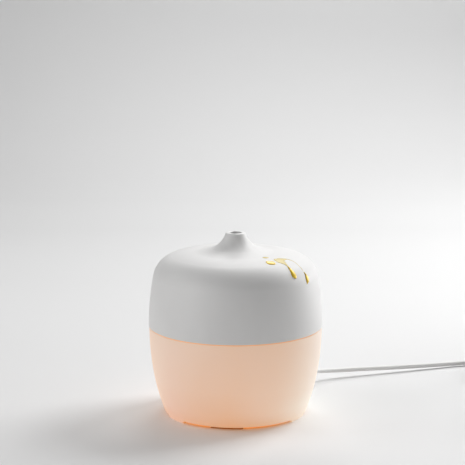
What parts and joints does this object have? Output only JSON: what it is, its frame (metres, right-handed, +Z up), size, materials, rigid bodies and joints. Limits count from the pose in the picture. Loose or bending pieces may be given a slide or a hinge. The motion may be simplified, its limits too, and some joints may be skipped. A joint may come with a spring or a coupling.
{
  "type": "essential oil diffuser",
  "caption": "Rounded ultrasonic oil diffuser: matt white lift-off cover with a small nozzle, frosted peach glowing base, tank, fan and coiled power lead.",
  "frame": {"origin": "centre of the footprint, on the surface that the diffuser stands on; the power lead and adapter aren't counted", "axes": "+Z up along the nozzle's axis, -Y towards the viewer, +Y towards the rear panel with its socket and buttons, +X to the side where the lead goes"},
  "size_m": [0.3124, 0.1859, 0.13],
  "materials": {
    "cover_white": "fine matt moulded ABS",
    "guide_plastic": "satin moulded PP",
    "gilt": "glossy gilt lacquer",
    "frosted_peach": "frosted translucent moulding, lit from inside",
    "seam_glow": "translucent light guide",
    "tank_plastic": "satin moulded PP",
    "steel": "zinc plated",
    "silicone": "moulded silicone",
    "piezo_metal": "lapped metal disc",
    "retainer_plastic": "moulded",
    "circuit_board": "solder mask",
    "led_lens": "clear lens",
    "base_white": "satin moulded ABS",
    "foot_rubber": "soft brown rubber",
    "rim_amber": "amber translucent strip",
    "fan_black": "glass-filled nylon",
    "ferrite": "ferrite with copper winding",
    "capacitor_sleeve": "shrink sleeve",
    "heat_sink_alloy": "extruded",
    "chip_resin": "moulded resin",
    "header_nylon": "natural nylon",
    "button_white": "satin",
    "switch_black": "moulded",
    "wire_red": "PVC sleeve",
    "cord_white": "soft PVC sheath",
    "plug_white": "soft moulded PVC",
    "adapter_white": "fine spark texture",
    "pin_brass": "nickel plated"
  },
  "bodies": {
    "base": {"adapter_body": "adapter_white", "adapter_face": "adapter_white", "adapter_pins": "pin_brass", "adapter_strain_relief": "plug_white", "air_chimney": "tank_plastic", "air_duct": "base_white", "base_plate": "base_white", "board_screws": "steel", "button_board": "circuit_board", "button_switches": "switch_black", "capacitors": "capacitor_sleeve", "case_screws": "steel", "control_chip": "chip_resin", "drive_coil": "ferrite", "drive_transistor": "chip_resin", "fan_frame": "fan_black", "fan_screws": "steel", "fan_wires": "wire_red", "heat_sink": "heat_sink_alloy", "lead_coil": "cord_white", "lead_plug": "plug_white", "lead_tail": "cord_white", "led_board": "circuit_board", "led_board_screws": "steel", "leds": "led_lens", "level_probes": "steel", "light_shell": "frosted_peach", "light_wires": "wire_red", "main_board": "circuit_board", "mist_wires": "wire_red", "piezo_disc": "piezo_metal", "piezo_retainer": "retainer_plastic", "piezo_seal": "silicone", "plug_strain_relief": "plug_white", "power_lead": "cord_white", "power_socket": "switch_black", "power_wires": "wire_red", "rear_panel": "base_white", "retainer_screws": "steel", "rim_lights": "rim_amber", "rubber_feet": "foot_rubber", "seam_ring": "seam_glow", "water_tank": "tank_plastic", "wire_headers": "header_nylon"},
    "cover": {"outer_cover": "cover_white", "mist_guide": "guide_plastic", "gilt_drips": "gilt"},
    "rotor": {"fan_rotor": "fan_black"},
    "mist_key": {"mist_button": "button_white"},
    "light_key": {"light_button": "button_white"}
  },
  "joints": [
    {"name": "cover_lift", "type": "slide", "parent": "base", "child": "cover", "axis": [0, 0, 1], "range_m": [0, 0.08]},
    {"name": "fan_spin", "type": "hinge", "parent": "base", "child": "rotor", "pos_m": [-0.03, 0, 0.012], "axis": [0, 0, 1], "continuous": true},
    {"name": "mist_press", "type": "slide", "parent": "base", "child": "mist_key", "axis": [0, -1, 0], "range_m": [0, 0.0006], "stiffness_N_per_m": 600},
    {"name": "light_press", "type": "slide", "parent": "base", "child": "light_key", "axis": [0, -1, 0], "range_m": [0, 0.0006], "stiffness_N_per_m": 600}
  ]
}
